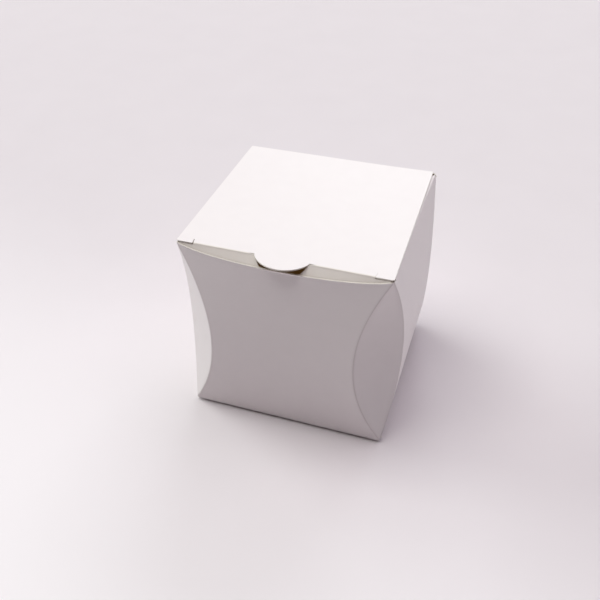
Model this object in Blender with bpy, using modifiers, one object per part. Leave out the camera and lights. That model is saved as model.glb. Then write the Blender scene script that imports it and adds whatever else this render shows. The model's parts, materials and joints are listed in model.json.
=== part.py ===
"""Curved cube carton, folded from white board.

Four walls swell gently outwards and meet four almond shaped corner panels
along curved creases. The top closes with a lid whose tuck flap slides in
behind the front wall, over two dust flaps, and a round thumb tab stands out
of its front fold. The bottom closes the same way from the front wall, and its
tuck flap slides in behind the back wall. The front wall faces -Y, and the
origin is under the middle of the box.
"""
import math

import bmesh
import bpy

# Board, in metres
BOARD = 0.0005               # thickness of the board
GAP = 0.0003                 # clear space between neighbouring pieces

# Walls
BOX_WIDTH = 0.080            # across the box, at the ends of the walls
BOX_DEPTH = 0.077            # front to back, at the ends of the walls
WALL_HEIGHT = 0.080          # lower fold to upper fold
CORNER_SWEEP = 0.0116        # how far a curved crease runs in along its wall
WALL_BULGE = 0.00375         # how far a wall stands out at mid height
CORNER_TIP = 0.0005          # width of a corner panel at its two points
FREE_EDGE_DROP = 0.0003      # a wall's free edge lies this far inside the end fold
FRONT_BOW = 0.0020           # how far the front wall's free edge is pushed forward
FRONT_DIP = 0.0024           # how far that edge is cut down at its middle

# Glue flap
GLUE_INSET = 0.0012          # glue flap to each crease beside it
GLUE_END = 0.009             # glue flap to each end of its corner, past the tuck flap beside it

# Lid and bottom panel
END_FRONT_SET = 0.0002       # closing edge, behind the face of the wall there
END_HINGE_SET = 0.0007       # each end of the hinged edge, in from the box corner
END_CORNER_ROUND = 0.0010
SLIT_LENGTH = 0.0066         # lock slit at each end of a tuck fold
SLIT_WIDTH = 0.0004
SLIT_TURN = 0.0020           # where the slit turns into the panel
TAB_WIDTH = 0.0200           # thumb tab along the fold
TAB_REACH = 0.0060           # thumb tab beyond the fold

# Tuck flaps
TUCK_DEPTH = 0.0140          # fold to tip
TUCK_TAPER = 0.0016          # how far each side runs in from fold to tip
TUCK_CORNER = 0.0100         # radius of its two outer corners
TUCK_LEAN = math.radians(8)  # closed flap, in from upright
TUCK_RELIEF = 0.0004         # board left free at the fold

# Dust flaps
DUST_REACH = 0.027           # wall to free edge
DUST_FRONT_SET = 0.0025      # flap's straight side, in from the wall it ends at
DUST_REAR_SET = 0.0010       # start of the tapered side, in from the hinged end
DUST_TAPER = math.radians(33)
DUST_CORNER = 0.0030

ROWS = 28                    # strips up each curved sheet
BOWED_COLUMNS = 12           # strips across the bowed front wall
ARC_POINTS = 14              # segments in the thumb tab's curve
CORNER_POINTS = 6            # segments in a rounded corner

BOARD_COLOUR = (0.90, 0.885, 0.88, 1.0)
BOARD_ROUGHNESS = 0.55

HALF_WIDTH = BOX_WIDTH / 2
HALF_DEPTH = BOX_DEPTH / 2
LOWER_FOLD = BOARD + GAP
UPPER_FOLD = LOWER_FOLD + WALL_HEIGHT
MID_HEIGHT = (LOWER_FOLD + UPPER_FOLD) / 2
TUCK_PLANE = BOARD + GAP     # a tuck flap's face, in from the wall's face
DIAGONAL = math.sqrt(0.5)

# A sheet stops short of its crease, so that its inner edge still clears the next sheet
WALL_ANGLE = math.radians(67.5)
CREASE_INSET = (GAP / 2 + BOARD * math.cos(WALL_ANGLE)) / math.sin(WALL_ANGLE)
SQUARE_INSET = BOARD + GAP * DIAGONAL + GAP / 10


def clear_scene():
    for old in list(bpy.data.objects):
        bpy.data.objects.remove(old, do_unlink=True)


def parts_collection():
    folder = bpy.data.collections.new("curved_cube_box")
    bpy.context.scene.collection.children.link(folder)
    return folder


def board_material(name):
    material = bpy.data.materials.new(name + "_board")
    material.use_nodes = True
    shader = material.node_tree.nodes["Principled BSDF"]
    shader.inputs["Base Color"].default_value = BOARD_COLOUR
    shader.inputs["Roughness"].default_value = BOARD_ROUGHNESS
    shader.inputs["Metallic"].default_value = 0.0
    material.diffuse_color = BOARD_COLOUR
    return material


def add_piece(folder, name, data, parent=None, location=(0, 0, 0), turn=0.0):
    """Puts one named sheet in the box, turned about the upright."""
    piece = bpy.data.objects.new(name, data)
    data.materials.append(board_material(name))
    piece.location = location
    piece.rotation_euler.z = turn
    piece.parent = parent
    folder.objects.link(piece)
    return piece


def add_pivot(folder, name, location, parent=None, rotation=(0, 0, 0)):
    """Adds an empty on a fold line or at an end of the box."""
    pivot = bpy.data.objects.new(name, None)
    pivot.empty_display_size = 0.01
    pivot.location = location
    pivot.rotation_euler = rotation
    pivot.parent = parent
    folder.objects.link(pivot)
    return pivot


def swell(height):
    """One at mid height and nothing at the two folds."""
    along = (height - MID_HEIGHT) / (WALL_HEIGHT / 2)
    return 1 - along * along


def wall_inset(height):
    """How far a wall's side edge lies in from the box corner."""
    return max(CORNER_SWEEP * swell(height) + CREASE_INSET, SQUARE_INSET)


def curved_sheet(name, columns, place):
    """Bends a flat grid with place(across, along), and gives it the board's thickness inwards."""
    shape = bmesh.new()
    bmesh.ops.create_grid(shape, x_segments=columns, y_segments=ROWS, size=1.0)
    for vert in shape.verts:
        vert.co = place(vert.co.x, (vert.co.y + 1) / 2)
    mesh = bpy.data.meshes.new(name)
    shape.to_mesh(mesh)
    shape.free()
    mesh.shade_smooth()
    return mesh


def thicken(piece):
    board = piece.modifiers.new("board", "SOLIDIFY")
    board.thickness = BOARD
    board.offset = -1
    board.use_even_offset = True


def add_wall(folder, name, half_across, distance, turn, lower, upper, bow=0.0, dip=0.0):
    """Adds one wall, made facing -Y and turned about the upright to its side."""
    def place(across, along):
        crown = 1 - across * across
        height = lower + along * (upper - dip * crown - lower)
        above_middle = max(0.0, (height - MID_HEIGHT) / (WALL_HEIGHT / 2))
        out = WALL_BULGE * swell(height) + bow * crown * above_middle ** 2
        return (across * (half_across - wall_inset(height)), -(distance + out), height)

    columns = BOWED_COLUMNS if bow else 2
    thicken(add_piece(folder, name, curved_sheet(name, columns, place), turn=turn))


def corner_point(narrow):
    """Share of the half height at which a corner panel is only narrow wide on each side."""
    full = (CORNER_SWEEP + WALL_BULGE) * DIAGONAL
    return math.sqrt(1 - narrow / full)


def corner_sheet(name, inset, depth, reach):
    """An almond shaped sheet across a corner, made facing -Y with the box corner at its origin."""
    def place(across, along):
        height = MID_HEIGHT + (2 * along - 1) * reach
        half = (CORNER_SWEEP + WALL_BULGE) * DIAGONAL * swell(height) - inset
        back = (CORNER_SWEEP - WALL_BULGE) * DIAGONAL * swell(height) + depth
        return (across * half, back, height)

    return curved_sheet(name, 2, place)


def add_corner_panels(folder):
    reach = WALL_HEIGHT / 2 * corner_point(CREASE_INSET + CORNER_TIP / 2)
    corners = (
        ("corner_panel_front_left", -1, -1, -45),
        ("corner_panel_front_right", 1, -1, 45),
        ("corner_panel_back_right", 1, 1, 135),
        ("corner_panel_back_left", -1, 1, 225),
    )
    for name, side, end, degrees in corners:
        place = (side * HALF_WIDTH, end * HALF_DEPTH, 0)
        mesh = corner_sheet(name, CREASE_INSET, 0.0, reach)
        thicken(add_piece(folder, name, mesh, location=place, turn=math.radians(degrees)))


def add_glue_flap(folder):
    """The flap inside the back left corner, glued behind its corner panel."""
    reach = WALL_HEIGHT / 2 - GLUE_END
    mesh = corner_sheet("glue_flap", GLUE_INSET, BOARD + GAP, reach)
    place = (-HALF_WIDTH, HALF_DEPTH, 0)
    thicken(add_piece(folder, "glue_flap", mesh, location=place, turn=math.radians(225)))


def arc(start, end, rise):
    """Points of a round arc from start to end, standing rise off its chord to -Y for a positive rise."""
    half = (end[0] - start[0]) / 2
    radius = (half * half + rise * rise) / (2 * abs(rise))
    spread = math.asin(half / radius)
    sign = math.copysign(1, rise)
    centre = (start[0] + half, start[1] - rise + sign * radius)
    points = []
    for step in range(ARC_POINTS + 1):
        angle = -spread + 2 * spread * step / ARC_POINTS
        points.append((centre[0] + radius * math.sin(angle), centre[1] - sign * radius * math.cos(angle)))
    return points


def rounded(corner, before, after, radius):
    """Points of a round corner between the sides that run to before and to after."""
    legs = []
    for other in (before, after):
        run = (other[0] - corner[0], other[1] - corner[1])
        size = math.hypot(*run)
        legs.append((run[0] / size, run[1] / size))
    half_angle = math.acos(legs[0][0] * legs[1][0] + legs[0][1] * legs[1][1]) / 2
    middle = (legs[0][0] + legs[1][0], legs[0][1] + legs[1][1])
    stretch = radius / math.sin(half_angle) / math.hypot(*middle)
    centre = (corner[0] + middle[0] * stretch, corner[1] + middle[1] * stretch)
    tangent = radius / math.tan(half_angle)
    first = (corner[0] + legs[0][0] * tangent, corner[1] + legs[0][1] * tangent)
    last = (corner[0] + legs[1][0] * tangent, corner[1] + legs[1][1] * tangent)
    from_angle = math.atan2(first[1] - centre[1], first[0] - centre[0])
    turn = math.atan2(last[1] - centre[1], last[0] - centre[0]) - from_angle
    turn = (turn + math.pi) % (2 * math.pi) - math.pi
    points = []
    for step in range(CORNER_POINTS + 1):
        angle = from_angle + turn * step / CORNER_POINTS
        points.append((centre[0] + radius * math.cos(angle), centre[1] + radius * math.sin(angle)))
    return points


def add_flat_sheet(folder, name, outline, parent, top):
    """A flat board of the given outline, its upper face at height top over its pivot."""
    curve = bpy.data.curves.new(name, "CURVE")
    curve.dimensions = "2D"
    curve.fill_mode = "BOTH"
    curve.extrude = BOARD / 2
    edge = curve.splines.new("POLY")
    edge.points.add(len(outline) - 1)
    for point, (x, y) in zip(edge.points, outline):
        point.co = (x, y, 0, 1)
    edge.use_cyclic_u = True
    return add_piece(folder, name, curve, parent=parent, location=(0, 0, top - BOARD / 2))


def end_panel_outline(with_tab):
    """Lid or bottom panel seen from outside, its hinged edge near y = 0 and its tuck fold at -Y."""
    fold = -(BOX_DEPTH - END_FRONT_SET)
    hinged = -GAP
    slit = HALF_WIDTH - SLIT_LENGTH
    hinged_half = HALF_WIDTH - END_HINGE_SET
    back_left = (-hinged_half, hinged)
    front_left = (-HALF_WIDTH, fold)
    front_right = (HALF_WIDTH, fold)
    back_right = (hinged_half, hinged)
    points = rounded(back_left, back_right, front_left, END_CORNER_ROUND)
    points += rounded(front_left, back_left, front_right, END_CORNER_ROUND)
    points += slit_notch(-slit - SLIT_WIDTH, -slit, fold)
    if with_tab:
        points += arc((-TAB_WIDTH / 2, fold), (TAB_WIDTH / 2, fold), TAB_REACH)
    points += slit_notch(slit, slit + SLIT_WIDTH, fold)
    points += rounded(front_right, front_left, back_right, END_CORNER_ROUND)
    points += rounded(back_right, front_right, back_left, END_CORNER_ROUND)
    return points


def slit_notch(left, right, fold):
    """The short turn of a lock slit into the panel."""
    return [(left, fold), (left, fold + SLIT_TURN), (right, fold + SLIT_TURN), (right, fold)]


def tuck_outline(with_cut_out):
    """Tuck flap from its fold at y = 0 to its tip at -Y."""
    half = HALF_WIDTH - BOARD - 2 * GAP
    top_left = (-half, -TUCK_RELIEF)
    top_right = (half, -TUCK_RELIEF)
    tip_left = (-half + TUCK_TAPER, -TUCK_DEPTH)
    tip_right = (half - TUCK_TAPER, -TUCK_DEPTH)
    points = [top_left]
    points += rounded(tip_left, top_left, tip_right, TUCK_CORNER)
    points += rounded(tip_right, tip_left, top_right, TUCK_CORNER)
    points.append(top_right)
    if with_cut_out:
        cut = arc((-TAB_WIDTH / 2, -TUCK_RELIEF), (TAB_WIDTH / 2, -TUCK_RELIEF), TAB_REACH)
        points += reversed(cut)
    return points


def dust_outline(rear):
    """Dust flap from its wall at y = 0 inwards along -Y, with the hinged end of the box at rear * X."""
    near = -(BOARD + GAP)
    straight = -rear * (HALF_DEPTH - DUST_FRONT_SET)
    tapered = HALF_DEPTH - DUST_REAR_SET
    narrowed = tapered - (DUST_REACH + near) * math.tan(DUST_TAPER)
    wall_front = (straight, near)
    wall_rear = (rear * tapered, near)
    free_rear = (rear * narrowed, -DUST_REACH)
    free_front = (straight, -DUST_REACH)
    points = [wall_rear, wall_front]
    points += rounded(free_front, wall_front, free_rear, DUST_CORNER)
    points += rounded(free_rear, free_front, wall_rear, DUST_CORNER)
    return points


def add_end(folder, panel_name, prefix, height, flip, with_tab):
    """A closed end of the box: panel, tuck flap and two dust flaps, each on its own fold."""
    end = add_pivot(folder, prefix + "end", (0, 0, height), rotation=(flip, 0, 0))
    panel_fold = add_pivot(folder, prefix + "panel_fold", (0, HALF_DEPTH, 0), end)
    add_flat_sheet(folder, panel_name, end_panel_outline(with_tab), panel_fold, GAP + BOARD)
    tuck_place = (0, -(BOX_DEPTH - TUCK_PLANE), GAP)
    hang = (math.pi / 2 + TUCK_LEAN, 0, 0)
    tuck_fold = add_pivot(folder, prefix + "tuck_fold", tuck_place, panel_fold, hang)
    add_flat_sheet(folder, prefix + "tuck_flap", tuck_outline(with_tab), tuck_fold, 0.0)
    for side_name, side in (("left", -1), ("right", 1)):
        place = (side * HALF_WIDTH, 0, 0)
        inwards = (0, 0, -side * math.pi / 2)
        dust_fold = add_pivot(folder, prefix + "dust_fold_" + side_name, place, end, inwards)
        flap_name = prefix + "dust_flap_" + side_name
        add_flat_sheet(folder, flap_name, dust_outline(-side), dust_fold, 0.0)


def build():
    clear_scene()
    folder = parts_collection()
    free_top = UPPER_FOLD - FREE_EDGE_DROP
    free_foot = LOWER_FOLD + FREE_EDGE_DROP
    add_wall(folder, "front_wall", HALF_WIDTH, HALF_DEPTH, 0.0, LOWER_FOLD, free_top, FRONT_BOW, FRONT_DIP)
    add_wall(folder, "right_wall", HALF_DEPTH, HALF_WIDTH, math.radians(90), LOWER_FOLD, UPPER_FOLD)
    add_wall(folder, "back_wall", HALF_WIDTH, HALF_DEPTH, math.radians(180), free_foot, UPPER_FOLD)
    add_wall(folder, "left_wall", HALF_DEPTH, HALF_WIDTH, math.radians(270), LOWER_FOLD, UPPER_FOLD)
    add_corner_panels(folder)
    add_glue_flap(folder)
    add_end(folder, "lid_panel", "", UPPER_FOLD, 0.0, True)
    add_end(folder, "bottom_panel", "bottom_", LOWER_FOLD, math.pi, False)
    bpy.context.view_layer.update()


build()
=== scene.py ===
import json
import math

import bmesh
import bpy
from mathutils import Matrix, Vector


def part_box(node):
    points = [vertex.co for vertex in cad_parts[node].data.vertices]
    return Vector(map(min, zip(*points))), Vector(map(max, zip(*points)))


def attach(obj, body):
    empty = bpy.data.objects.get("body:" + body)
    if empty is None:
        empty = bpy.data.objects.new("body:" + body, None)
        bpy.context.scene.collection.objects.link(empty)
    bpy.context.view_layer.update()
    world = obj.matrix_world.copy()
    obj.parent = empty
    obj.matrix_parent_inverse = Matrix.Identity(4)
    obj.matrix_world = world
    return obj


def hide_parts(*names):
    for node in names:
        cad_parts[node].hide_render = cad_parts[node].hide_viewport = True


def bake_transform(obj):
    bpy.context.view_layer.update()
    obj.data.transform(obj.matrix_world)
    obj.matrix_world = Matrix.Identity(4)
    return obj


# A small gift carton of creased white board, closed, on a pale floor.
#
# Each sheet of board is cut flat as a grid with the stations it needs, trimmed to its outline,
# and then laid along the way that its creases take it. A sheet is the outer face of the board,
# and a Solidify modifier gives it the board's thickness inwards. The closed top is made first
# and the closed bottom is the same pattern turned over, so that its panel folds at the front.

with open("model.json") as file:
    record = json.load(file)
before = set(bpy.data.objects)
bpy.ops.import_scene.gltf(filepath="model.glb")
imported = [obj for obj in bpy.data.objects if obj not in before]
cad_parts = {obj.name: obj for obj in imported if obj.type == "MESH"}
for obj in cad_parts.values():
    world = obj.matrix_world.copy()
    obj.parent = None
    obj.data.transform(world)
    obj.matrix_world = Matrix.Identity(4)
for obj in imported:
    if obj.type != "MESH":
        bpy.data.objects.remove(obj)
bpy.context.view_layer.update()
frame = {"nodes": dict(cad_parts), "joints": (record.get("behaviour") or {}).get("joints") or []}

# Sizes that the frame gives, in metres
FOLDS = {joint["name"]: Vector(joint["pos_m"]) for joint in frame["joints"]}
lid_low, lid_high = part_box("lid_panel")
HALF_WIDTH = FOLDS["dust_fold_right"].x
HALF_DEPTH = FOLDS["lid_fold"].y
UPPER_FOLD = FOLDS["lid_fold"].z
LOWER_FOLD = FOLDS["bottom_fold"].z
MID_HEIGHT = (LOWER_FOLD + UPPER_FOLD) / 2
HALF_HEIGHT = (UPPER_FOLD - LOWER_FOLD) / 2
LID_TOP = lid_high.z
BOARD = lid_high.z - lid_low.z
WALL_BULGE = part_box("right_wall")[1].x - HALF_WIDTH
TAB_TIP = -lid_low.y

# Walls
CORNER_SWEEP = 0.0116          # how far a curved crease runs in along its wall at mid height
CREASE_RADIUS = 0.0006         # outside of a bent crease
CREASE_DENT = 0.00006          # scored line pressed into a crease
CREASE_BESIDE = 0.015          # station beside a crease, as a share of the wall's half width
CREASE_HALO = 0.4              # how strong a crease's painted shade is at the edge of its bend
CREASE_SPREAD = 0.0006         # and how far beside that it fades out
CREASE_FULL = 0.5              # share of the dent's depth at which the painted shade is full
TIP_DROP = 0.00015             # cut tips of the walls, below the fold lines
FREE_EDGE_DROP = 0.0008        # a wall's free edge, below the fold line
FRONT_BOW = 0.0026             # how far the tuck flap pushes the front wall's free edge out
FRONT_DIP = 0.0017             # how far that edge is cut down at its middle
CROWN_POWER = 2.4              # how flat both are along the middle
TIP_POWER = 16                 # how suddenly a free edge rises to the tips
RIM_FLARE = 0.00020            # how far the front wall's cut edge curls out
RIM_FLARE_REACH = 0.00080      # and from how far below it
CORNER_OPEN = 0.0006           # how wide the back right corner stands at the top
CORNER_LIFT = 0.0004           # and how high
CORNER_OPEN_POWER = 3          # how soon that is lost towards the other corners

# Glue flap, inside the back left corner
GLUE_GAP = 0.00008             # glue between the flap and its corner panel
GLUE_INSET = 0.0012            # flap's free edge, short of the far crease
GLUE_END = 0.009               # bare length at each end of the corner
GLUE_RAMP = 0.004              # length over which the flap's slanted ends run in
GLUE_EARLY = 3                 # how much sooner the flap's bend is whole than its width
SEAM_INSET = 0.00015           # cut edge of the corner panel, short of the left wall's face
SEAM_SET = 0.00012             # left wall's edge, back from the panel at the corner's bare ends
SEAM_LEAST = 0.2               # share of the corner panel's width that is kept at its points

# Lid and bottom panel
PANEL_BEND = 0.0006            # outside of the panel's fold
FOLD_LEAD = 0.00025            # straight board before a fold starts to bend
HINGE_SET = 0.0012             # each end of a panel's fold, in from the box corner
PANEL_REAR_ROUND = 0.0010
PANEL_FRONT_ROUND = 0.0010
PANEL_TAPERS = {-1: 0.0006, 1: 0.0}    # how much narrower the right and left sides are at the fold
BESIDE_ROUND = 1.5             # a station this many radii in from a panel's rounded corner
PANEL_SAG = 0.0010             # how far the bottom panel's middle hangs down, to the floor
PANEL_SAG_FILL = 2             # how soon that is reached, in from the panel's edges
EAR_SET = 0.0002               # ears' front edge, behind the face of the wall
SLIT_LENGTH = 0.0066           # lock slit at each end of the tuck fold
SLIT_TURN = 0.0024             # where the slit turns into the panel
SLIT_WIDTHS = {-1: 0.00006, 1: 0.00030}    # turned ends, right and left: the right one is closed
SLIT_LEAN = 0.0004             # how far the turned end runs outwards
TAB_HALF = 0.0100              # half the thumb tab, along the fold

# Tuck flap
TUCK_BEND = 0.0004             # outside of the tuck fold
TUCK_LEAD = 0.00012
TUCK_DEPTH = 0.0140
TUCK_SIDE = 0.0011             # flap's sides, in from the box corners
TUCK_TAPER = math.radians(6.5)
TUCK_CORNER = 0.0100
TUCK_LEAN = math.radians(8)    # sides of the flap, in from upright
TUCK_RELIEF = 0.0003           # flap's shoulders, below the ears
TUCK_REST_GAP = 0.00006        # flap to the inside of the front wall
TUCK_EASING = 0.00006          # how softly the flap takes up the wall's direction
TUCK_FALL = 0.94               # height lost for each length along the sprung flap
TUCK_HOLD = (30, 6, 0.004)     # how near its sides it springs, at the rim and deeper, and how deep
TUCK_WIDEST = 0.93             # past this share of the wall's half width it is shaped as it is there

# Dust flaps
DUST_BEND = 0.0006
DUST_REACH = 0.027             # wall to free edge
DUST_FRONT_SET = 0.0025        # straight side, in from the wall it ends at
DUST_REAR_SET = 0.0013         # start of the tapered side
DUST_TAPER = math.radians(33)
DUST_CORNER = 0.0030

# Fineness of the meshes, in strips
BEND_STRIPS = 8
CORNER_STRIPS = 8
TAB_STRIPS = 26
TAB_RISE_STRIPS = 14
RISE_STRIPS = 64
GLUE_STRIPS = 6
LENS_STRIPS = 5
WALL_STRIPS = 10
FRONT_STRIPS = 28
PANEL_STRIPS = (10, 12)        # across between the slits, and from the fold to where they turn
TUCK_STRIPS = (16, 24, 10)     # across, and along the flap's upper and lower half
TUCK_CORNER_STRIPS = 12
DUST_STRIPS = (36, 12)         # along the fold, and from it to the free edge's corners

# Closer stations at an edge and at a tip, as shares of a wall's height and half width
EDGE_SHARES = (0.0, 0.001, 0.0022, 0.0036, 0.0055, 0.009, 0.014)
EVEN_FROM = 0.0224             # share of the height where the even stations start
TIP_SHARES = (0.9, 0.94, 0.96, 0.975, 0.985, 0.993)

# Places that are taken as one
MERGE = 1e-7
SAME_PLACE = 1e-6
SAME_STATION = 1e-5

HALF_TURN = math.pi
QUARTER_TURN = math.pi / 2
CREASE_TURN = math.radians(45)
BEND_REACH = CREASE_RADIUS * math.tan(CREASE_TURN / 2)
LEAST_CHAMFER = math.sqrt(2) * (BEND_REACH + CREASE_RADIUS / 10)    # at a corner panel's points
GLUE_SET = math.sqrt(2) * (BOARD + GLUE_GAP)    # left wall's crease, back from the panel glued over it
END_LEAN = math.atan(2 * WALL_BULGE / HALF_HEIGHT)     # how far a wall leans in at its two ends

# Each side of the box: turn about the upright, half its width, and its distance from the middle
SIDES = {
    "left": (-QUARTER_TURN, HALF_DEPTH, HALF_WIDTH),
    "front": (0.0, HALF_WIDTH, HALF_DEPTH),
    "right": (QUARTER_TURN, HALF_DEPTH, HALF_WIDTH),
    "back": (HALF_TURN, HALF_WIDTH, HALF_DEPTH),
}


def spread(first, last, count):
    """Evenly spaced values from first to last, both included."""
    return [first + (last - first) * step / count for step in range(count + 1)]


def in_order(values):
    """Sorted values, with those that nearly coincide taken once."""
    kept = []
    for value in sorted(values):
        if not kept or value - kept[-1] > SAME_STATION:
            kept.append(value)
    return kept


def swell(height):
    """One at mid height and nothing at the two fold lines."""
    along = (height - MID_HEIGHT) / HALF_HEIGHT
    return 1 - along * along


def chamfer(height, extra=0.0):
    """How far a corner panel cuts each of its walls back from the square corner."""
    return max((CORNER_SWEEP + WALL_BULGE) * swell(height) + extra, LEAST_CHAMFER)


def glue_share(height):
    """One along the glue flap, falling to nothing at its two slanted ends."""
    inside = HALF_HEIGHT - GLUE_END - abs(height - MID_HEIGHT)
    return min(1.0, max(0.0, inside / GLUE_RAMP))


def glue_bent(height):
    """One where the glue flap is at its full bend, which it takes early on its slanted ends."""
    return min(1.0, GLUE_EARLY * glue_share(height))


def wall_end(side, share, height):
    """Middle of a wall to where it starts to bend, at the end that share is nearer to."""
    extra = 0.0
    if side == "left" and share < 0:
        extra = SEAM_SET + (GLUE_SET - SEAM_SET) * glue_bent(height)
    return SIDES[side][1] + WALL_BULGE * swell(height) - chamfer(height, extra) - BEND_REACH


def stand(side, across, out, height):
    """A place seen square on from outside, set on that side of the box."""
    return Matrix.Rotation(SIDES[side][0], 3, "Z") @ Vector((across, -out, height))


def crown(share):
    """One at the middle of a wall's width and nothing at its ends."""
    return 1 - abs(share) ** CROWN_POWER


def front_push(share, height):
    """How far the tuck flap pushes the front wall out at a share of its width."""
    above = max(0.0, (height - MID_HEIGHT) / HALF_HEIGHT)
    return FRONT_BOW * crown(share) * above ** 2


def rim_flare(share, height):
    """How far the front wall curls out under its cut edge."""
    near_rim = max(0.0, 1 - (front_rim(share) - height) / RIM_FLARE_REACH)
    return RIM_FLARE * min(1.0, near_rim) ** 2


def free_edge(share, dip):
    """How far a wall's free edge is below its fold line, at a share of the wall's width."""
    drop = FREE_EDGE_DROP - TIP_DROP + dip * crown(share)
    return TIP_DROP + drop * (1 - abs(share) ** TIP_POWER)


def front_rim(share):
    """Height of the front wall's free edge at a share of its width."""
    return UPPER_FOLD - free_edge(share, FRONT_DIP)


def fold_start(side, level, radius):
    """Where a flap's fold leaves its wall, and how far the wall stands out there."""
    height = level - radius * (1 - math.sin(END_LEAN)) - FOLD_LEAD
    return SIDES[side][2] + WALL_BULGE * swell(height), height


LID_JOIN = fold_start("back", LID_TOP, PANEL_BEND)
DUST_JOIN = fold_start("right", UPPER_FOLD, DUST_BEND)

# Where along its wall each flap is joined, seen from outside: side, end of the box, from, to
LONG_SIDE = HALF_DEPTH - DUST_REAR_SET
SHORT_SIDE = HALF_DEPTH - DUST_FRONT_SET
PANEL_SIDE = HALF_WIDTH - HINGE_SET
JOINED = {
    ("back", "top"): (-PANEL_SIDE, PANEL_SIDE),
    ("front", "foot"): (-PANEL_SIDE, PANEL_SIDE),
    ("right", "top"): (-SHORT_SIDE, LONG_SIDE),
    ("right", "foot"): (-LONG_SIDE, SHORT_SIDE),
    ("left", "top"): (-LONG_SIDE, SHORT_SIDE),
    ("left", "foot"): (-SHORT_SIDE, LONG_SIDE),
}


def blank(across, along):
    """A flat sheet with grid lines at the given stations."""
    sheet = bmesh.new()
    columns = len(across) - 1
    rows = len(along) - 1
    bmesh.ops.create_grid(sheet, x_segments=columns, y_segments=rows, size=1.0)
    for vert in sheet.verts:
        column = round((vert.co.x + 1) / 2 * columns)
        row = round((vert.co.y + 1) / 2 * rows)
        vert.co = (across[column], along[row], 0.0)
    return sheet


def cut_away(sheet, waste):
    """Deletes the cells of a flat sheet whose middle is waste."""
    cells = [face for face in sheet.faces if waste(*face.calc_center_median().xy)]
    bmesh.ops.delete(sheet, geom=cells, context="FACES")


def trim(sheet, clip):
    """Draws a flat sheet's outer stations in to its outline, and welds what meets there."""
    for vert in sheet.verts:
        vert.co.xy = clip(vert.co.x, vert.co.y)
    bmesh.ops.remove_doubles(sheet, verts=sheet.verts, dist=MERGE)
    bmesh.ops.dissolve_degenerate(sheet, edges=sheet.edges, dist=MERGE)


def rounding(from_end, radius):
    """How far a round corner draws a side in, at a distance from its end."""
    if from_end >= radius:
        return 0.0
    rise = radius - max(from_end, 0.0)
    return radius - math.sqrt(radius * radius - rise * rise)


def quarter_round(radius, strips):
    """Distances along a sheet at even angles of a rounded corner, from where it starts."""
    return [radius * math.sin(angle) for angle in spread(0, QUARTER_TURN, strips)]


def side_line(start, slant, end, radius):
    """A sheet's side that slants in from start, and is rounded into its far edge at end."""
    centre_along = end - radius
    centre = start - centre_along * math.tan(slant) - radius / math.cos(slant)

    def limit(along):
        if along <= centre_along + radius * math.sin(slant):
            return start - along * math.tan(slant)
        rise = min(along - centre_along, radius)
        return centre + math.sqrt(radius * radius - rise * rise)

    return limit


def off_square(place, apart=1.0):
    """Draws the back right corner up and out a little, as in a carton folded by hand."""
    back_right = max(0.0, place.x / HALF_WIDTH) * max(0.0, place.y / HALF_DEPTH)
    below = (UPPER_FOLD - place.z) / (2 * HALF_HEIGHT)
    near = min(1.0, back_right) ** CORNER_OPEN_POWER * (1 - min(1.0, max(0.0, below)) ** 2)
    return place + near * Vector((CORNER_OPEN * apart, 0.0, CORNER_LIFT))


def follow(out, up, heading, stretches):
    """The way along a strip of board seen end on: straight lengths and bends, heading from upright."""
    def at(distance):
        place_out, place_up, turned = out, up, heading
        for length, turn in stretches:
            step = min(distance, length)
            if turn:
                rate = turn / length
                place_out += (math.cos(turned + rate * step) - math.cos(turned)) / rate
                place_up += (math.sin(turned + rate * step) - math.sin(turned)) / rate
                turned += rate * step
            else:
                place_out -= math.sin(turned) * step
                place_up += math.cos(turned) * step
            distance -= step
            if distance <= 0:
                break
        return place_out, place_up

    return at


def flap_way(join, radius):
    """The way over a wall's end: up the wall, round the fold, and level across the box."""
    turn = QUARTER_TURN - END_LEAN
    stretches = [(FOLD_LEAD / math.cos(END_LEAN), 0.0), (radius * turn, turn), (math.inf, 0.0)]
    return follow(join[0], join[1], END_LEAN, stretches), stretches[0][0], radius * turn


def turned_over(place):
    """The same place on the other end of the box, front and back changed over."""
    return Vector((place.x, -place.y, 2 * MID_HEIGHT - place.z))


def board_piece(name, sheet, nodes, over=False, outside="coated_face"):
    """Makes a piece of board from a folded sheet, which stands for some of the frame's nodes."""
    if over:
        for vert in sheet.verts:
            vert.co = turned_over(vert.co)
    for edge in sheet.edges:
        edge.smooth = not edge.is_boundary
    for face in sheet.faces:
        face.smooth = True
    mesh = bpy.data.meshes.new(name)
    sheet.to_mesh(mesh)
    sheet.free()
    for finish in (outside, "raw_face", "cut_edge"):
        mesh.materials.append(FINISHES[finish])
    piece = bpy.data.objects.new(name, mesh)
    bpy.context.scene.collection.objects.link(piece)
    board = piece.modifiers.new("board", "SOLIDIFY")
    board.thickness = BOARD
    board.offset = -1
    board.use_even_offset = True
    board.material_offset = 1
    board.material_offset_rim = 2
    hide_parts(*nodes)
    return piece


def bend_between(piece, start, end, over):
    """Bakes a piece's placement into its mesh; the start and end of its bend are worked out but not used.
    """
    if over:
        start, end = turned_over(start), turned_over(end)
    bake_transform(piece)
    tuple(start)
    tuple(end)


def wall_stations(side):
    """Stations along a wall: even ones, the ends of its flaps, its tips, and beside its creases."""
    places = [place for span in JOINED.items() if span[0][0] == side for place in span[1]]
    shares = [place / wall_end(side, place, UPPER_FOLD) for place in places]
    shares += spread(-1, 1, FRONT_STRIPS if side == "front" else WALL_STRIPS)
    shares.append(1 - CREASE_BESIDE)
    if side != "left":
        shares.append(CREASE_BESIDE - 1)
    if side in ("front", "back"):
        shares += [tip * share for tip in (-1, 1) for share in TIP_SHARES]
    return in_order(shares)


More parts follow.
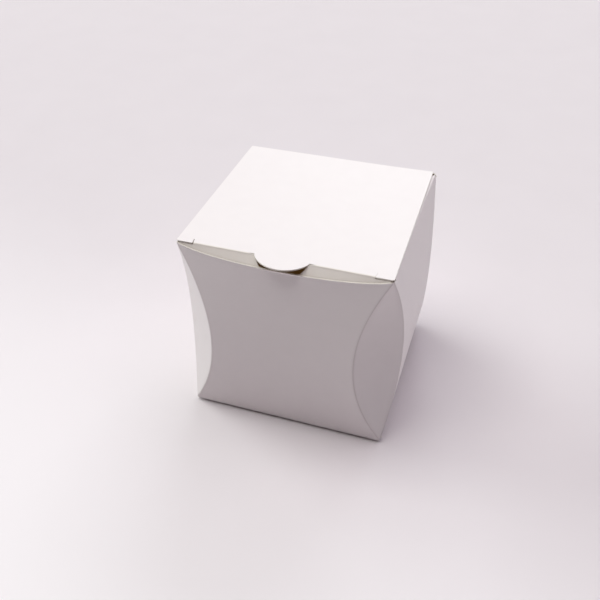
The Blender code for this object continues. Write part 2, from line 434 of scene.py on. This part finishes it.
def lens_stations(side):
    """Stations across a corner panel: even ones, and beside its creases. The back's ends in the seam."""
    shares = spread(0, 1, LENS_STRIPS) + [2 * CREASE_BESIDE]
    if side != "back":
        shares.append(1 - 2 * CREASE_BESIDE)
    return in_order(shares)


def ring_columns():
    """Stations round the walls, from the glue flap's free edge to the seam: side, stretch, share."""
    columns = [("left", "glue", 1 - share) for share in spread(0, 1, GLUE_STRIPS)]
    columns += [("left", "glue_bend", share) for share in spread(1, 0, BEND_STRIPS)[1:-1]]
    for side in SIDES:
        columns += [(side, "wall", share) for share in wall_stations(side)]
        columns += [(side, "bend_in", share) for share in spread(0, 1, BEND_STRIPS)[1:]]
        columns += [(side, "lens", share) for share in lens_stations(side)[1:]]
        if side != "back":
            columns += [(side, "bend_out", share) for share in spread(0, 1, BEND_STRIPS)[1:-1]]
    return columns


def ring_place(side, stretch, share, height):
    """Outer face of the walls at a station round them."""
    across = SIDES[side][1] + WALL_BULGE * swell(height)
    out = SIDES[side][2] + WALL_BULGE * swell(height)
    if stretch == "wall":
        if side == "front":
            out += front_push(share, height) + rim_flare(share, height)
        return stand(side, share * wall_end(side, share, height), out, height)
    if stretch in ("glue", "glue_bend"):
        width = math.sqrt(2) * chamfer(height) - GLUE_INSET
        angle = CREASE_TURN * glue_bent(height) * (1 if stretch == "glue" else share)
        run = width * glue_share(height) * share * math.sqrt(0.5) if stretch == "glue" else 0.0
        bend_start = wall_end(side, -1, height)
        return stand(side, -bend_start - CREASE_RADIUS * math.sin(angle) - run,
                     out - CREASE_RADIUS * (1 - math.cos(angle)) - run, height)
    cut = chamfer(height) + BEND_REACH
    first = Vector((across - cut, out - CREASE_RADIUS))
    second = Vector((across - CREASE_RADIUS, out - cut))
    if stretch == "lens":
        middle = CREASE_RADIUS * Vector((math.sin(CREASE_TURN), math.cos(CREASE_TURN)))
        if side == "back":
            run = (second - first).length
            share *= max(SEAM_LEAST, 1 - (SEAM_INSET - BEND_REACH) / max(run, SEAM_INSET))
        flat = first.lerp(second, share) + middle
        return stand(side, flat.x, flat.y, height)
    centre = first if stretch == "bend_in" else second
    angle = CREASE_TURN * (share if stretch == "bend_in" else 1 + share)
    bent = CREASE_RADIUS - dent(share)
    return stand(side, centre.x + bent * math.sin(angle), centre.y + bent * math.cos(angle), height)


def dent(share):
    """Depth of the scored line at a share of the way round a bend."""
    return CREASE_DENT * math.sin(HALF_TURN * share) ** 2


def crease_shade(side, stretch, share, height):
    """How strongly painted shade darkens the crease at a station: most in its bend, and fading out beside
    it.
    """
    if "bend" in stretch:
        pressed = min(1.0, dent(share) / (CREASE_FULL * CREASE_DENT))
        return CREASE_HALO + (1 - CREASE_HALO) * pressed
    if stretch == "glue" or (side == "left" and share < 0):
        return 0.0
    nearest, length = 1 - abs(share), wall_end(side, share, height)
    if stretch == "lens":
        nearest = share if side == "back" else min(share, 1 - share)
        length = math.sqrt(2) * chamfer(height)
    return CREASE_HALO * max(0.0, 1 - nearest * length / CREASE_SPREAD)


def ring_edges(side, stretch, share):
    """Foot and top of the walls at a station round them."""
    foot, top = LOWER_FOLD + TIP_DROP, UPPER_FOLD - TIP_DROP
    if stretch != "wall":
        return foot, top
    if side == "front":
        top = front_rim(share)
    if side == "back":
        foot = LOWER_FOLD + free_edge(share, 0.0)
    join = LID_JOIN[1] if side in ("front", "back") else DUST_JOIN[1]
    place = share * wall_end(side, share, UPPER_FOLD)
    for (joined_side, end), (start, stop) in JOINED.items():
        if joined_side == side and start - SAME_PLACE <= place <= stop + SAME_PLACE:
            top = join if end == "top" else top
            foot = 2 * MID_HEIGHT - join if end == "foot" else foot
    return foot, top


def walls():
    """The four walls, four corner panels and glue flap, which are one creased sheet."""
    columns = ring_columns()
    far = [1 - share for share in EDGE_SHARES]
    rows = in_order(list(EDGE_SHARES) + spread(EVEN_FROM, 1 - EVEN_FROM, RISE_STRIPS) + far)
    sheet = blank(range(len(columns)), rows)
    # strength of the painted crease shade at each point
    crease = sheet.verts.layers.float.new("crease")
    for vert in sheet.verts:
        side, stretch, share = columns[round(vert.co.x)]
        foot, top = ring_edges(side, stretch, share)
        height = foot + (top - foot) * vert.co.y
        vert[crease] = crease_shade(side, stretch, share, height)
        vert.co = off_square(ring_place(side, stretch, share, height))
    bmesh.ops.remove_doubles(sheet, verts=sheet.verts, dist=MERGE)
    nodes = ["glue_flap"] + [name for name in frame["nodes"] if "wall" in name or "corner" in name]
    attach(board_piece("carton_walls", sheet, nodes), "walls")


def tab_stations():
    """Radius of the thumb tab's curve, and stations across it at even angles."""
    reach = TAB_TIP - EAR_EDGE
    radius = (TAB_HALF ** 2 + reach ** 2) / (2 * reach)
    half_angle = math.asin(TAB_HALF / radius)
    return radius, [radius * math.sin(angle) for angle in spread(-half_angle, half_angle, TAB_STRIPS)]


EAR_EDGE = HALF_DEPTH - EAR_SET
SLIT_END = HALF_WIDTH - SLIT_LENGTH
TAB_RADIUS, TAB_ACROSS = tab_stations()
FOLD_OUT = EAR_EDGE - TUCK_BEND - TUCK_LEAD    # where the lid's sheet hands over to the tuck flap's


def tab_rise(across):
    """How far the thumb tab's curve stands off the fold at a place across it."""
    if abs(across) >= TAB_HALF:
        return 0.0
    base = TAB_RADIUS - (TAB_TIP - EAR_EDGE)
    return math.sqrt(TAB_RADIUS ** 2 - across ** 2) - base


def sag(place):
    """How far the closed bottom panel hangs down at a place, before it is turned over."""
    across = max(0.0, 1 - (place.x / HALF_WIDTH) ** 2)
    along = max(0.0, 1 - (place.y / HALF_DEPTH) ** 2)
    return PANEL_SAG * min(1.0, PANEL_SAG_FILL * across * along) ** 2


def panel(name, node, over):
    """Lid or bottom panel, from its fold on a wall to its ears, and to the lid's thumb tab."""
    with_tab = not over
    way, lead, bend = flap_way(LID_JOIN, PANEL_BEND)
    level = lead + bend
    flat_out = way(level)[0]
    ear = level + flat_out + EAR_EDGE
    tuck = level + flat_out + FOLD_OUT
    turn_start = ear - SLIT_TURN
    tip = ear + TAB_TIP - EAR_EDGE
    sides = [SLIT_END, HALF_WIDTH - BESIDE_ROUND * PANEL_FRONT_ROUND, HALF_WIDTH]
    across = TAB_ACROSS + spread(-SLIT_END, SLIT_END, PANEL_STRIPS[0])
    for side in (-1, 1):
        across += [side * place for place in sides + [SLIT_END + SLIT_WIDTHS[side]]]
    rear = [PANEL_REAR_ROUND - place for place in quarter_round(PANEL_REAR_ROUND, CORNER_STRIPS)]
    corner = [ear - PANEL_FRONT_ROUND + place for place in quarter_round(PANEL_FRONT_ROUND, CORNER_STRIPS)]
    along = [0.0, lead, level + lead, tuck, ear] + spread(lead, level, BEND_STRIPS) + rear + corner
    along += spread(level + 2 * lead, turn_start, PANEL_STRIPS[1])
    if with_tab:
        along += spread(ear, tip, TAB_RISE_STRIPS)
    sheet = blank(in_order(across), in_order(along))

    def waste(place, distance):
        """Whether a cell is in a slit, or past the sheet's edge."""
        width = SLIT_WIDTHS[1 if place > 0 else -1]
        place = abs(place)
        past_tab = place > TAB_HALF or not with_tab
        in_slit = SLIT_END < place < SLIT_END + width and distance > turn_start
        return in_slit or (past_tab and distance > (tuck if place < SLIT_END else ear))

    cut_away(sheet, waste)

    def clip(place, distance):
        """Draws a place in to the panel's rounded and tapered sides, and to the tab's curve."""
        if with_tab and abs(place) <= TAB_HALF:
            distance = min(distance, ear + tab_rise(place))
        half = HALF_WIDTH - PANEL_TAPERS[1 if place > 0 else -1] * (1 - distance / ear)
        half -= rounding(distance, PANEL_REAR_ROUND) + rounding(ear - distance, PANEL_FRONT_ROUND)
        turned = max(0.0, min(1.0, (ear - distance) / SLIT_TURN))
        width = SLIT_WIDTHS[1 if place > 0 else -1]
        beside = abs(place) - SLIT_END
        if distance >= turn_start - SAME_PLACE and -SAME_PLACE <= beside <= width + SAME_PLACE:
            place += math.copysign(SLIT_LEAN * turned, place)
        return max(-half, min(half, place)), distance

    trim(sheet, clip)
    for vert in sheet.verts:
        vert.co = stand("back", vert.co.x, *way(vert.co.y))
        if over:
            vert.co.z += sag(vert.co)
        else:
            vert.co = off_square(vert.co, 0.0)
    start, end = (stand("back", 0.0, *way(distance)) for distance in (lead, level))
    bend_between(board_piece(name, sheet, [node], over), start, end, over)


def sprung_out(across, height, sprung):
    """The tuck flap's outer face: leaning in at its sides, and springing out to its wall between."""
    fold = LID_TOP - TUCK_BEND
    lean = EAR_EDGE - (fold - height) * math.tan(TUCK_LEAN)
    if not sprung:
        return lean
    share = min(TUCK_WIDEST, abs(across) / HALF_WIDTH)

    def wall_face(level):
        """Where the flap would lie against the inside of its wall."""
        pushed = front_push(share, level) + rim_flare(share, level)
        return HALF_DEPTH + WALL_BULGE * swell(level) + pushed - BOARD - TUCK_REST_GAP

    rim = front_rim(share)
    straight = EAR_EDGE + (wall_face(rim) - EAR_EDGE) * (fold - height) / (fold - rim)
    beyond = (straight - wall_face(height)) / TUCK_EASING
    eased = wall_face(height) - TUCK_EASING * (math.log1p(math.exp(-abs(beyond))) - min(beyond, 0.0))
    at_rim, deeper, fade = TUCK_HOLD
    hold = deeper + (at_rim - deeper) * max(0.0, 1 - max(0.0, rim - height) / fade)
    return lean + (eased - lean) * (1 - share ** hold)


def tuck_flap(name, node, over):
    """A tuck flap, from the end of its panel round the fold and down behind the wall."""
    with_tab = not over
    bend = TUCK_BEND * QUARTER_TURN
    free = TUCK_LEAD + bend + TUCK_RELIEF
    total = TUCK_LEAD + TUCK_DEPTH
    half = HALF_WIDTH - TUCK_SIDE
    curve = quarter_round(TUCK_CORNER, TUCK_CORNER_STRIPS)
    outer = [half - TUCK_CORNER + place for place in curve]
    across = TAB_ACROSS + spread(-SLIT_END, SLIT_END, TUCK_STRIPS[0])
    across += [side * place for side in (-1, 1) for place in outer + [SLIT_END]]
    along = [0.0, TUCK_LEAD] + spread(TUCK_LEAD, free, BEND_STRIPS)
    along += spread(free, total / 2, TUCK_STRIPS[1]) + spread(total / 2, total, TUCK_STRIPS[2])
    along += [total - TUCK_CORNER + place for place in curve]
    sheet = blank(in_order(across), in_order(along))
    cut_away(sheet, lambda place, distance: abs(place) > SLIT_END and distance < free)
    side = side_line(half, TUCK_TAPER, total, TUCK_CORNER)

    def clip(place, distance):
        """Draws a place in to the flap's sides, and out of the notch that the tab was cut from."""
        limit = side(distance)
        place = max(-limit, min(limit, place))
        if with_tab and abs(place) < TAB_HALF:
            distance = max(distance, tab_rise(place) + TUCK_LEAD + bend / 2)
        return place, distance

    trim(sheet, clip)

    def lay(place, distance):
        """Round the fold until the flap's own slope is met, then down along its face."""
        start_height = LID_TOP - TUCK_BEND / 2
        slope = (sprung_out(place, start_height - TUCK_BEND, with_tab)
                 - sprung_out(place, start_height, with_tab)) / TUCK_BEND
        turn = QUARTER_TURN - math.atan(slope)
        way = follow(-FOLD_OUT, LID_TOP, QUARTER_TURN,
                     [(TUCK_LEAD, 0.0), (TUCK_BEND * turn, turn), (math.inf, 0.0)])
        around = TUCK_LEAD + TUCK_BEND * turn
        if distance <= around:
            return way(distance)
        out, height = way(around)
        fall = (distance - around) * TUCK_FALL
        settle = min(1.0, fall / TUCK_BEND)
        drift = -out - sprung_out(place, height, with_tab)
        return -(sprung_out(place, height - fall, with_tab) + drift * (1 - settle)), height - fall

    for vert in sheet.verts:
        vert.co = stand("back", vert.co.x, *lay(vert.co.x, vert.co.y))
    start = stand("back", 0.0, -(FOLD_OUT + TUCK_LEAD), LID_TOP)
    end = stand("back", 0.0, -EAR_EDGE, LID_TOP - TUCK_BEND)
    # the flap's outer face takes the board white tinted by painted warm bounce light
    bend_between(board_piece(name, sheet, [node], over, "flap_bounce_face"), start, end, over)


def dust_flap(name, node, side, over):
    """A dust flap, from its side wall round the fold and level under the panel."""
    way, lead, bend = flap_way(DUST_JOIN, DUST_BEND)
    level = lead + bend
    total = level + DUST_REACH - (SIDES[side][2] - way(level)[0])
    start, stop = JOINED[(side, "top")]
    long_end = 1 if stop > -start else -1
    corner = [total - DUST_CORNER + place for place in quarter_round(DUST_CORNER, CORNER_STRIPS)]
    straight = side_line(SHORT_SIDE, 0.0, total, DUST_CORNER)
    slanted = side_line(LONG_SIDE, DUST_TAPER, total, DUST_CORNER)
    along = [0.0, lead, level + lead] + spread(lead, level, BEND_STRIPS) + corner
    along += spread(level + 2 * lead, total - DUST_CORNER, DUST_STRIPS[1])
    sheet = blank(spread(-SHORT_SIDE, LONG_SIDE, DUST_STRIPS[0]), in_order(along))

    def clip(place, distance):
        """Draws a place in to the straight side, and past the fold to the slanted one."""
        high = slanted(distance) if distance > level else LONG_SIDE
        return long_end * max(-straight(distance), min(high, place)), distance

    trim(sheet, clip)
    if long_end < 0:
        bmesh.ops.reverse_faces(sheet, faces=sheet.faces)
    for vert in sheet.verts:
        vert.co = stand(side, vert.co.x, *way(vert.co.y))
        if not over:
            vert.co = off_square(vert.co)
    start, end = (stand(side, 0.0, *way(distance)) for distance in (lead, level))
    bend_between(board_piece(name, sheet, [node], over), start, end, over)


# Finishes: each colour where the grain is palest and where it is darkest

CLAY_WHITE = (0.895, 0.837, 0.845, 1.0)
CLAY_SHADE = (0.88, 0.822, 0.83, 1.0)
# The board's white tinted warmer for the tuck flaps' outer face: painted warm bounce light from the cream
# insides
FLAP_BOUNCE_WHITE = (0.895, 0.837, 0.79, 1.0)
FLAP_BOUNCE_SHADE = (0.875, 0.815, 0.76, 1.0)
PULP_CREAM = (0.80, 0.75, 0.68, 1.0)
PULP_SHADE = (0.72, 0.66, 0.58, 1.0)
EDGE_CREAM = (0.84, 0.80, 0.745, 1.0)
EDGE_SHADE = (0.74, 0.70, 0.645, 1.0)
FLOOR_WHITE = (0.765, 0.708, 0.738, 1.0)
FLOOR_SHADE = (0.745, 0.688, 0.718, 1.0)
BOARD_SHEEN = 0.25
FLOOR_SHEEN = 0.05
ROUGHNESS_PLAY = 0.06          # how far the grain changes the roughness, each way

# Painted shade along the creases: a grey mixed into the board's tones in and beside each bend
CREASE_SHADE_GREY = (0.58, 0.515, 0.52, 1.0)
CREASE_SHADE_SHARE = 0.6            # how much of that painted shade a crease takes at most
LIGHT_THROUGH = (1.0, 0.5, 0.12, 1.0)
LIGHT_THROUGH_STRENGTH = 0.012
# Painted light on the floor: a paler tone towards the front left, seen only directly
FLOOR_PAINTED_LIGHT = (0.94, 0.895, 0.918, 1.0)
FLOOR_LIGHT_TOWARD = (-0.35, -0.93, 0.0)
FLOOR_LIGHT_OVER = (-0.03, 0.18)    # where along that way the painted light on the floor starts and ends
ROOM_PALE = (0.84, 0.81, 0.84, 1.0)


def add_node(tree, kind, **settings):
    """Adds a node to a tree, with its settings."""
    node = tree.nodes.new(kind)
    for name, value in settings.items():
        setattr(node, name, value)
    return node


def grain_group():
    """Fibres and soft mottling of board or paper, at the sizes that a material gives."""
    group = bpy.data.node_groups.new("board_grain", "ShaderNodeTree")
    for name, value in (("Fibres per Metre", 3000.0), ("Mottles per Metre", 250.0), ("Fibre Share", 0.5)):
        socket = group.interface.new_socket(name=name, in_out="INPUT", socket_type="NodeSocketFloat")
        socket.default_value = value
    for name in ("Tone", "Relief"):
        group.interface.new_socket(name=name, in_out="OUTPUT", socket_type="NodeSocketFloat")
    given = add_node(group, "NodeGroupInput")
    result = add_node(group, "NodeGroupOutput")
    place = add_node(group, "ShaderNodeTexCoord")
    fibre = add_node(group, "ShaderNodeTexNoise")
    fibre.inputs["Detail"].default_value = 4.0
    fibre.inputs["Roughness"].default_value = 0.6
    fibre.inputs["Distortion"].default_value = 0.8
    mottle = add_node(group, "ShaderNodeTexNoise")
    mottle.inputs["Detail"].default_value = 3.0
    mix = add_node(group, "ShaderNodeMix", data_type="FLOAT")
    link = group.links.new
    link(place.outputs["Object"], fibre.inputs["Vector"])
    link(place.outputs["Object"], mottle.inputs["Vector"])
    link(given.outputs["Fibres per Metre"], fibre.inputs["Scale"])
    link(given.outputs["Mottles per Metre"], mottle.inputs["Scale"])
    link(given.outputs["Fibre Share"], mix.inputs["Factor"])
    link(mottle.outputs["Fac"], mix.inputs["A"])
    link(fibre.outputs["Fac"], mix.inputs["B"])
    link(mix.outputs["Result"], result.inputs["Tone"])
    link(fibre.outputs["Fac"], result.inputs["Relief"])
    return group


GRAIN = grain_group()


def grained(name, pale, shade, fibres, mottles, fibre_share, depth, roughness, reach, sheen=BOARD_SHEEN):
    """A material of two tones, with roughness and relief to match, from the board's grain.

    Fibres and mottles are counts per metre, depth is the fibres' in metres, and reach is how far
    from its mean the grain comes to the full tones.
    """
    material = bpy.data.materials.new(name)
    material.use_nodes = True
    tree = material.node_tree
    shader = tree.nodes["Principled BSDF"]
    shader.inputs["Specular IOR Level"].default_value = sheen
    grain = add_node(tree, "ShaderNodeGroup", node_tree=GRAIN)
    grain.inputs["Fibres per Metre"].default_value = fibres
    grain.inputs["Mottles per Metre"].default_value = mottles
    grain.inputs["Fibre Share"].default_value = fibre_share
    tone = add_node(tree, "ShaderNodeMapRange")
    tone.inputs["From Min"].default_value = 0.5 - reach
    tone.inputs["From Max"].default_value = 0.5 + reach
    tones = add_node(tree, "ShaderNodeMix", data_type="RGBA", name="tones")
    tones.inputs["A"].default_value = shade
    tones.inputs["B"].default_value = pale
    gloss = add_node(tree, "ShaderNodeMapRange")
    gloss.inputs["To Min"].default_value = roughness + ROUGHNESS_PLAY
    gloss.inputs["To Max"].default_value = roughness - ROUGHNESS_PLAY
    bump = add_node(tree, "ShaderNodeBump")
    bump.inputs["Distance"].default_value = depth
    link = tree.links.new
    link(grain.outputs["Tone"], tone.inputs["Value"])
    link(grain.outputs["Tone"], gloss.inputs["Value"])
    link(tone.outputs["Result"], tones.inputs["Factor"])
    link(grain.outputs["Relief"], bump.inputs["Height"])
    link(tones.outputs["Result"], shader.inputs["Base Color"])
    link(gloss.outputs["Result"], shader.inputs["Roughness"])
    link(bump.outputs["Normal"], shader.inputs["Normal"])
    return material


def multiplied(tree, first, second):
    """The product of two sockets, or of a socket and a number."""
    product = add_node(tree, "ShaderNodeMath", operation="MULTIPLY")
    tree.links.new(first, product.inputs[0])
    if isinstance(second, float):
        product.inputs[1].default_value = second
    else:
        tree.links.new(second, product.inputs[1])
    return product.outputs["Value"]


def lay_over(material, colour, share):
    """Mixes one more colour over a material's tones, by the share that a socket gives."""
    tree = material.node_tree
    mix = add_node(tree, "ShaderNodeMix", data_type="RGBA")
    mix.inputs["B"].default_value = colour
    tree.links.new(share, mix.inputs["Factor"])
    tree.links.new(tree.nodes["tones"].outputs["Result"], mix.inputs["A"])
    tree.links.new(mix.outputs["Result"], tree.nodes["Principled BSDF"].inputs["Base Color"])


def coated_face(name, pale, shade):
    """The smooth outside, with painted shade darkening the scored creases."""
    material = grained(name, pale, shade, fibres=2600.0, mottles=180.0, fibre_share=0.35,
                       depth=0.000012, roughness=0.5, reach=0.2)
    tree = material.node_tree
    crease = add_node(tree, "ShaderNodeAttribute", attribute_name="crease")
    lay_over(material, CREASE_SHADE_GREY, multiplied(tree, crease.outputs["Fac"], CREASE_SHADE_SHARE))
    return material


def raw_face():
    """The uncoated inside, with a faint painted glow standing in for the little light that thin board lets
    through.
    """
    material = grained("raw_face", PULP_CREAM, PULP_SHADE, fibres=1800.0, mottles=260.0, fibre_share=0.6,
                       depth=0.00003, roughness=0.85, reach=0.25)
    shader = material.node_tree.nodes["Principled BSDF"]
    # painted glow: emission in place of light passing through the board
    shader.inputs["Emission Color"].default_value = LIGHT_THROUGH
    shader.inputs["Emission Strength"].default_value = LIGHT_THROUGH_STRENGTH
    return material


def cut_edge():
    """The board's cut edge, coarser and more uneven than its faces."""
    return grained("cut_edge", EDGE_CREAM, EDGE_SHADE, fibres=5000.0, mottles=900.0, fibre_share=0.5,
                   depth=0.00003, roughness=0.9, reach=0.3)


def seen_directly(tree):
    """One where the camera looks or a reflection or glass shows it, and nothing for bounced light."""
    path = add_node(tree, "ShaderNodeLightPath")
    seen = path.outputs["Is Camera Ray"]
    for ray in ("Is Glossy Ray", "Is Transmission Ray"):
        either = add_node(tree, "ShaderNodeMath", operation="MAXIMUM")
        tree.links.new(seen, either.inputs[0])
        tree.links.new(path.outputs[ray], either.inputs[1])
        seen = either.outputs["Value"]
    return seen


def pale_floor():
    """A pale dull sheet with the faintest mottling, with painted light making it paler towards its front
    left.
    """
    material = grained("pale_floor", FLOOR_WHITE, FLOOR_SHADE, fibres=900.0, mottles=30.0, fibre_share=0.2,
                       depth=0.00002, roughness=0.9, reach=0.3, sheen=FLOOR_SHEEN)
    tree = material.node_tree
    place = add_node(tree, "ShaderNodeTexCoord")
    forward = add_node(tree, "ShaderNodeVectorMath", operation="DOT_PRODUCT")
    forward.inputs[1].default_value = FLOOR_LIGHT_TOWARD
    painted_light = add_node(tree, "ShaderNodeMapRange", interpolation_type="SMOOTHSTEP")
    painted_light.inputs["From Min"].default_value, painted_light.inputs["From Max"].default_value = FLOOR_LIGHT_OVER
    tree.links.new(place.outputs["Object"], forward.inputs[0])
    tree.links.new(forward.outputs["Value"], painted_light.inputs["Value"])
    lay_over(material, FLOOR_PAINTED_LIGHT, multiplied(tree, painted_light.outputs["Result"], seen_directly(tree)))
    return material


FINISHES = {
    "coated_face": coated_face("coated_face", CLAY_WHITE, CLAY_SHADE),
    # the same board white, tinted warmer as painted bounce light on the tuck flaps
    "flap_bounce_face": coated_face("flap_bounce_face", FLAP_BOUNCE_WHITE, FLAP_BOUNCE_SHADE),
    "raw_face": raw_face(),
    "cut_edge": cut_edge(),
}

walls()
panel("lid", "lid_panel", over=False)
tuck_flap("lid_tuck_flap", "tuck_flap", over=False)
panel("base_panel", "bottom_panel", over=True)
tuck_flap("base_tuck_flap", "bottom_tuck_flap", over=True)
for side in ("left", "right"):
    dust_flap("lid_dust_flap_" + side, "dust_flap_" + side, side, over=False)
    dust_flap("base_dust_flap_" + side, "bottom_dust_flap_" + side, side,
              over=True)


# Floor, lights and camera

FLOOR_HALF = 3.0
FLOOR_CELLS = 8


def floor():
    """The floor, at the height that the bottom panel hangs down to."""
    sheet = bmesh.new()
    under_box = Matrix.Translation((0, 0, -PANEL_SAG))
    bmesh.ops.create_grid(sheet, x_segments=FLOOR_CELLS, y_segments=FLOOR_CELLS, size=FLOOR_HALF,
                          matrix=under_box)
    mesh = bpy.data.meshes.new("floor")
    sheet.to_mesh(mesh)
    sheet.free()
    mesh.materials.append(pale_floor())
    top = bpy.data.objects.new("floor", mesh)
    bpy.context.scene.collection.objects.link(top)


MIDDLE = Vector((0.0, 0.0, 0.040))       # of the box

# Each light, from the middle of the box: degrees clockwise from the back, degrees up, watts, colour
LIGHTS = {
    "left_window": (284, 20, 710.0, (0.90, 1.0, 0.955)),
    "left_ceiling": (257, 70, 893.0, (0.995, 0.994, 0.958)),
    "right_ceiling": (65, 70, 345.0, (0.98, 0.89, 0.97)),
    "right_window": (40, 8, 300.0, (1.0, 1.0, 1.0)),
    "back_window": (0, 28, 600.0, (0.93, 0.99, 1.0)),
}
LIGHT_DISTANCE = 12.0
LIGHT_SIZE = 8.0


def lights():
    """Large distant panels, which light the box and the floor evenly."""
    for name, (turn, rise, watts, colour) in LIGHTS.items():
        lamp = bpy.data.lights.new(name, "AREA")
        lamp.shape = "SQUARE"
        lamp.size = LIGHT_SIZE
        lamp.energy = watts
        lamp.color = colour
        toward = Vector((0, LIGHT_DISTANCE, 0))
        toward.rotate(Matrix.Rotation(math.radians(rise), 3, "X"))
        toward.rotate(Matrix.Rotation(math.radians(-turn), 3, "Z"))
        panel_of_light = bpy.data.objects.new(name, lamp)
        panel_of_light.location = MIDDLE + toward
        panel_of_light.rotation_mode = "QUATERNION"
        panel_of_light.rotation_quaternion = (-toward).to_track_quat("-Z", "Y")
        bpy.context.scene.collection.objects.link(panel_of_light)


def surroundings():
    """A pale room beyond the floor, for the camera and reflections only."""
    world = bpy.data.worlds.new("room")
    bpy.context.scene.world = world
    world.use_nodes = True
    tree = world.node_tree
    room = tree.nodes["Background"]
    room.inputs["Color"].default_value = ROOM_PALE
    tree.links.new(seen_directly(tree), room.inputs["Strength"])


CAMERA_AZIMUTH = math.radians(18.433)
CAMERA_ELEVATION = math.radians(38.988)
CAMERA_ROLL = math.radians(-0.505)
CAMERA_DISTANCE = 0.30758        # from the middle of the box
MIDDLE_PIXEL = (313.44, 288.86)  # where the middle of the box is in the photograph
PICTURE = 600
FOCAL_PIXELS = 730.68
SENSOR = 36.0                    # the lens's own millimetres
NEAREST_SEEN = 0.01


def camera():
    """The camera that sees the box as the photograph does."""
    flat = math.cos(CAMERA_ELEVATION)
    back = Vector((math.sin(CAMERA_AZIMUTH) * flat, -math.cos(CAMERA_AZIMUTH) * flat,
                   math.sin(CAMERA_ELEVATION)))
    right = (-back).cross(Vector((0, 0, 1))).normalized()
    up = back.cross(right)
    turned_right = math.cos(CAMERA_ROLL) * right + math.sin(CAMERA_ROLL) * up
    turned_up = math.cos(CAMERA_ROLL) * up - math.sin(CAMERA_ROLL) * right
    shift = [(pixel - PICTURE / 2) / FOCAL_PIXELS for pixel in MIDDLE_PIXEL]
    toward = -back + shift[0] * turned_right - shift[1] * turned_up
    lens = bpy.data.cameras.new("camera")
    lens.sensor_fit = "HORIZONTAL"
    lens.sensor_width = SENSOR
    lens.lens = FOCAL_PIXELS / PICTURE * SENSOR
    lens.clip_start = NEAREST_SEEN
    eye = bpy.data.objects.new("camera", lens)
    axes = Matrix((turned_right, turned_up, back)).transposed().to_4x4()
    place = MIDDLE - CAMERA_DISTANCE * toward
    eye.matrix_world = Matrix.Translation(place) @ axes
    bpy.context.scene.collection.objects.link(eye)
    bpy.context.scene.camera = eye


floor()
surroundings()
lights()
camera()
bpy.context.scene.view_settings.view_transform = "Standard"
